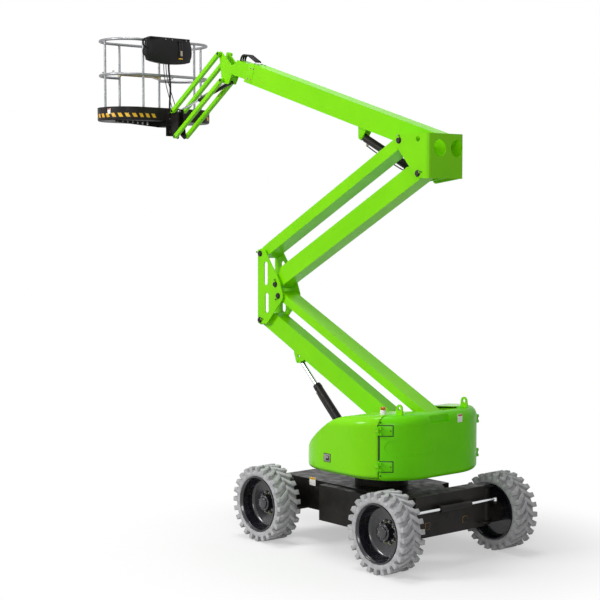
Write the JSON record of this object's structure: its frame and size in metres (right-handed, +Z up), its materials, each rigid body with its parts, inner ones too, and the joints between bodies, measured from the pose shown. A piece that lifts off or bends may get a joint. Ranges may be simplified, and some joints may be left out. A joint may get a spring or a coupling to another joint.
{
  "type": "articulating boom lift",
  "caption": "Self-propelled articulating boom lift: four-wheel chassis, slewing turret, stacked parallelogram booms, telescopic main boom, jib and round-cornered cage.",
  "frame": {"origin": "middle of the whole machine's box, on the ground", "axes": "+X along the booms towards the cage, +Y to the left, +Z up"},
  "size_m": [6.6957, 2.115, 6.08],
  "materials": {
    "lime_paint": "gloss",
    "lime_cast": "gloss",
    "lime_cover": "gloss",
    "black_paint": "satin",
    "grey_tyre": "matte",
    "black_rim": "gloss",
    "galvanised_tube": "satin",
    "chromed_rod": "polished",
    "black_tray": "satin",
    "black_plastic": "matte",
    "power_unit": "matte",
    "white_plastic": "gloss"
  },
  "bodies": {
    "chassis": {"chassis_hull": "black_paint", "fixed_axle": "black_paint", "steer_axle": "black_paint", "steering_cylinder": "black_paint", "slew_pedestal": "black_paint", "tie_down_loops": "black_paint"},
    "steering_rod": {"steering_rod": "chromed_rod"},
    "turret": {"turret_frame": "lime_paint", "counterweight": "lime_cast", "engine_block": "power_unit", "tank_block": "power_unit", "lifting_eyes": "lime_paint"},
    "stage_one_boom": {"stage_one_boom": "lime_paint"},
    "stage_one_link": {"stage_one_link": "lime_paint"},
    "centre_knuckle": {"centre_knuckle": "lime_paint"},
    "stage_two_boom": {"stage_two_boom": "lime_paint"},
    "stage_two_link": {"stage_two_link": "lime_paint"},
    "top_knuckle": {"top_knuckle": "lime_paint"},
    "main_boom": {"main_boom": "lime_paint"},
    "inner_boom": {"inner_boom": "lime_paint", "nose_hoses": "black_plastic"},
    "nose": {"nose": "lime_paint"},
    "jib_lower_bars": {"jib_lower_bars": "lime_paint"},
    "jib_upper_bars": {"jib_upper_bars": "lime_paint"},
    "carrier": {"carrier": "black_paint"},
    "cage": {"cage_support": "black_paint", "cage_tray": "black_tray", "cage_rails": "galvanised_tube", "control_box": "black_plastic", "cage_hose": "black_plastic"},
    "entry_bar": {"entry_bar": "galvanised_tube"},
    "stage_cylinder_barrel": {"stage_cylinder_barrel": "black_paint"},
    "stage_cylinder_rod": {"stage_cylinder_rod": "chromed_rod"},
    "boom_cylinder_barrel": {"boom_cylinder_barrel": "black_paint"},
    "boom_cylinder_rod": {"boom_cylinder_rod": "chromed_rod"},
    "jib_cylinder_barrel": {"jib_cylinder_barrel": "black_paint"},
    "jib_cylinder_rod": {"jib_cylinder_rod": "chromed_rod"},
    "left_steering_knuckle": {"left_steering_knuckle": "black_paint"},
    "left_cover": {"left_cover": "lime_cover", "beacon": "white_plastic"},
    "left_steer_wheel": {"left_steer_tyre": "grey_tyre", "left_steer_rim": "black_rim"},
    "left_fixed_wheel": {"left_fixed_tyre": "grey_tyre", "left_fixed_rim": "black_rim"},
    "right_steering_knuckle": {"right_steering_knuckle": "black_paint"},
    "right_cover": {"right_cover": "lime_cover"},
    "right_steer_wheel": {"right_steer_tyre": "grey_tyre", "right_steer_rim": "black_rim"},
    "right_fixed_wheel": {"right_fixed_tyre": "grey_tyre", "right_fixed_rim": "black_rim"}
  },
  "joints": [
    {"name": "left_steering", "type": "hinge", "parent": "chassis", "child": "left_steering_knuckle", "pos_m": [-2.92039, 0.62, 0.4275], "axis": [0, 0, 1], "range_deg": [-32, 32]},
    {"name": "left_steer_wheel_spin", "type": "hinge", "parent": "left_steering_knuckle", "child": "left_steer_wheel", "pos_m": [-2.92039, 0.865, 0.4275], "axis": [0, 1, 0], "continuous": true},
    {"name": "left_fixed_wheel_spin", "type": "hinge", "parent": "chassis", "child": "left_fixed_wheel", "pos_m": [-0.94039, 0.865, 0.4275], "axis": [0, 1, 0], "continuous": true},
    {"name": "right_steering", "type": "hinge", "parent": "chassis", "child": "right_steering_knuckle", "pos_m": [-2.92039, -0.62, 0.4275], "axis": [0, 0, 1], "range_deg": [-32.03, 32.03]},
    {"name": "right_steer_wheel_spin", "type": "hinge", "parent": "right_steering_knuckle", "child": "right_steer_wheel", "pos_m": [-2.92039, -0.865, 0.4275], "axis": [0, 1, 0], "continuous": true},
    {"name": "right_fixed_wheel_spin", "type": "hinge", "parent": "chassis", "child": "right_fixed_wheel", "pos_m": [-0.94039, -0.865, 0.4275], "axis": [0, 1, 0], "continuous": true},
    {"name": "steering_rod_slide", "type": "slide", "parent": "chassis", "child": "steering_rod", "axis": [0, 1, 0], "range_m": [-0.08945, 0.08945]},
    {"name": "slew", "type": "hinge", "parent": "chassis", "child": "turret", "pos_m": [-1.93039, 0, 0.905], "axis": [0, 0, 1], "range_deg": [-177.5, 177.5]},
    {"name": "left_cover_hinge", "type": "hinge", "parent": "turret", "child": "left_cover", "pos_m": [-2.68017, 0.75379, 1.25], "axis": [0, 0, 1], "range_deg": [0, 75]},
    {"name": "right_cover_hinge", "type": "hinge", "parent": "turret", "child": "right_cover", "pos_m": [-2.68017, -0.75379, 1.25], "axis": [0, 0, -1], "range_deg": [0, 75]},
    {"name": "stage_lift", "type": "hinge", "parent": "turret", "child": "stage_one_boom", "pos_m": [-2.37539, 0, 1.233], "axis": [0, -1, 0], "range_deg": [-25.7, 35]},
    {"name": "stage_one_link_pin", "type": "hinge", "parent": "turret", "child": "stage_one_link", "pos_m": [-2.72639, 0, 1.544], "axis": [0, -1, 0], "range_deg": [-25.73, 35.03]},
    {"name": "centre_knuckle_level", "type": "hinge", "parent": "stage_one_boom", "child": "centre_knuckle", "pos_m": [0.09176, 0, 2.42036], "axis": [0, -1, 0], "range_deg": [-35.03, 25.73]},
    {"name": "stage_two_pin", "type": "hinge", "parent": "centre_knuckle", "child": "stage_two_boom", "pos_m": [-0.20424, 0, 2.86836], "axis": [0, 1, 0], "range_deg": [-27.93, 38.03]},
    {"name": "stage_two_link_pin", "type": "hinge", "parent": "centre_knuckle", "child": "stage_two_link", "pos_m": [0.08576, 0, 3.23136], "axis": [0, 1, 0], "range_deg": [-27.93, 38.03]},
    {"name": "top_knuckle_level", "type": "hinge", "parent": "stage_two_boom", "child": "top_knuckle", "pos_m": [-2.62399, 0, 4.14955], "axis": [0, 1, 0], "range_deg": [-38.03, 27.93]},
    {"name": "stage_cylinder_pin", "type": "hinge", "parent": "stage_one_boom", "child": "stage_cylinder_rod", "pos_m": [-0.5189, 0, 1.96666], "axis": [0, -1, 0], "range_deg": [-8.87, 12.08]},
    {"name": "stage_cylinder_stroke", "type": "slide", "parent": "stage_cylinder_rod", "child": "stage_cylinder_barrel", "axis": [-0.7319, 0, -0.6815], "range_m": [-0.34182, 0.46552]},
    {"name": "main_luff", "type": "hinge", "parent": "top_knuckle", "child": "main_boom", "pos_m": [-2.62799, -0.2675, 4.51755], "axis": [0, -1, 0], "range_deg": [-17.1, 52.9]},
    {"name": "boom_cylinder_pin", "type": "hinge", "parent": "main_boom", "child": "boom_cylinder_barrel", "pos_m": [-1.32218, -0.2675, 4.60226], "axis": [0, -1, 0], "range_deg": [-3.75, 1.21]},
    {"name": "boom_cylinder_stroke", "type": "slide", "parent": "boom_cylinder_barrel", "child": "boom_cylinder_rod", "axis": [-0.9006, 0, -0.4346], "range_m": [-0.14079, 0.43553]},
    {"name": "boom_extend", "type": "slide", "parent": "main_boom", "child": "inner_boom", "axis": [0.9558, 0, 0.294], "range_m": [0, 2.1]},
    {"name": "nose_level", "type": "hinge", "parent": "inner_boom", "child": "nose", "pos_m": [1.10886, -0.2675, 5.54579], "axis": [0, -1, 0], "range_deg": [-52.95, 17.12]},
    {"name": "jib_lift", "type": "hinge", "parent": "nose", "child": "jib_lower_bars", "pos_m": [1.28386, -0.2675, 5.42479], "axis": [0, -1, 0], "range_deg": [-31.6, 93.4]},
    {"name": "jib_upper_pin", "type": "hinge", "parent": "nose", "child": "jib_upper_bars", "pos_m": [1.33686, -0.2675, 5.76879], "axis": [0, -1, 0], "range_deg": [-31.63, 93.49]},
    {"name": "carrier_level", "type": "hinge", "parent": "jib_lower_bars", "child": "carrier", "pos_m": [2.31489, -0.2675, 4.74495], "axis": [0, -1, 0], "range_deg": [-93.49, 31.63]},
    {"name": "jib_cylinder_pin", "type": "hinge", "parent": "nose", "child": "jib_cylinder_barrel", "pos_m": [1.18886, -0.2675, 5.39579], "axis": [0, -1, 0], "range_deg": [-26.88, 79.45]},
    {"name": "jib_cylinder_stroke", "type": "slide", "parent": "jib_cylinder_barrel", "child": "jib_cylinder_rod", "axis": [0.9678, 0, -0.2519], "range_m": [-0.16796, 0.49643]},
    {"name": "cage_swing", "type": "hinge", "parent": "carrier", "child": "cage", "pos_m": [2.42789, -0.2675, 4.78995], "axis": [0, 0, 1], "range_deg": [-75, 75]},
    {"name": "entry_bar_lift", "type": "slide", "parent": "cage", "child": "entry_bar", "axis": [0, 0, 1], "range_m": [0, 0.33]}
  ],
  "couplings": [
    {"joint": "right_steering", "follows": "left_steering", "ratio": 1},
    {"joint": "steering_rod_slide", "follows": "left_steering", "m_per_rad": -0.16},
    {"joint": "stage_one_link_pin", "follows": "stage_lift", "ratio": 1},
    {"joint": "centre_knuckle_level", "follows": "stage_lift", "ratio": -1},
    {"joint": "stage_two_pin", "follows": "stage_lift", "ratio": 1.0856},
    {"joint": "stage_two_link_pin", "follows": "stage_lift", "ratio": 1.0856},
    {"joint": "top_knuckle_level", "follows": "stage_lift", "ratio": -1.0856},
    {"joint": "stage_cylinder_pin", "follows": "stage_lift", "ratio": 0.34471},
    {"joint": "stage_cylinder_stroke", "follows": "stage_lift", "m_per_rad": 0.7613},
    {"joint": "boom_cylinder_pin", "follows": "main_luff", "ratio": -0.070728},
    {"joint": "boom_cylinder_stroke", "follows": "main_luff", "m_per_rad": 0.47125},
    {"joint": "nose_level", "follows": "main_luff", "ratio": -1},
    {"joint": "jib_upper_pin", "follows": "jib_lift", "ratio": 1},
    {"joint": "carrier_level", "follows": "jib_lift", "ratio": -1},
    {"joint": "jib_cylinder_pin", "follows": "jib_lift", "ratio": 0.84975},
    {"joint": "jib_cylinder_stroke", "follows": "jib_lift", "m_per_rad": 0.30423}
  ]
}
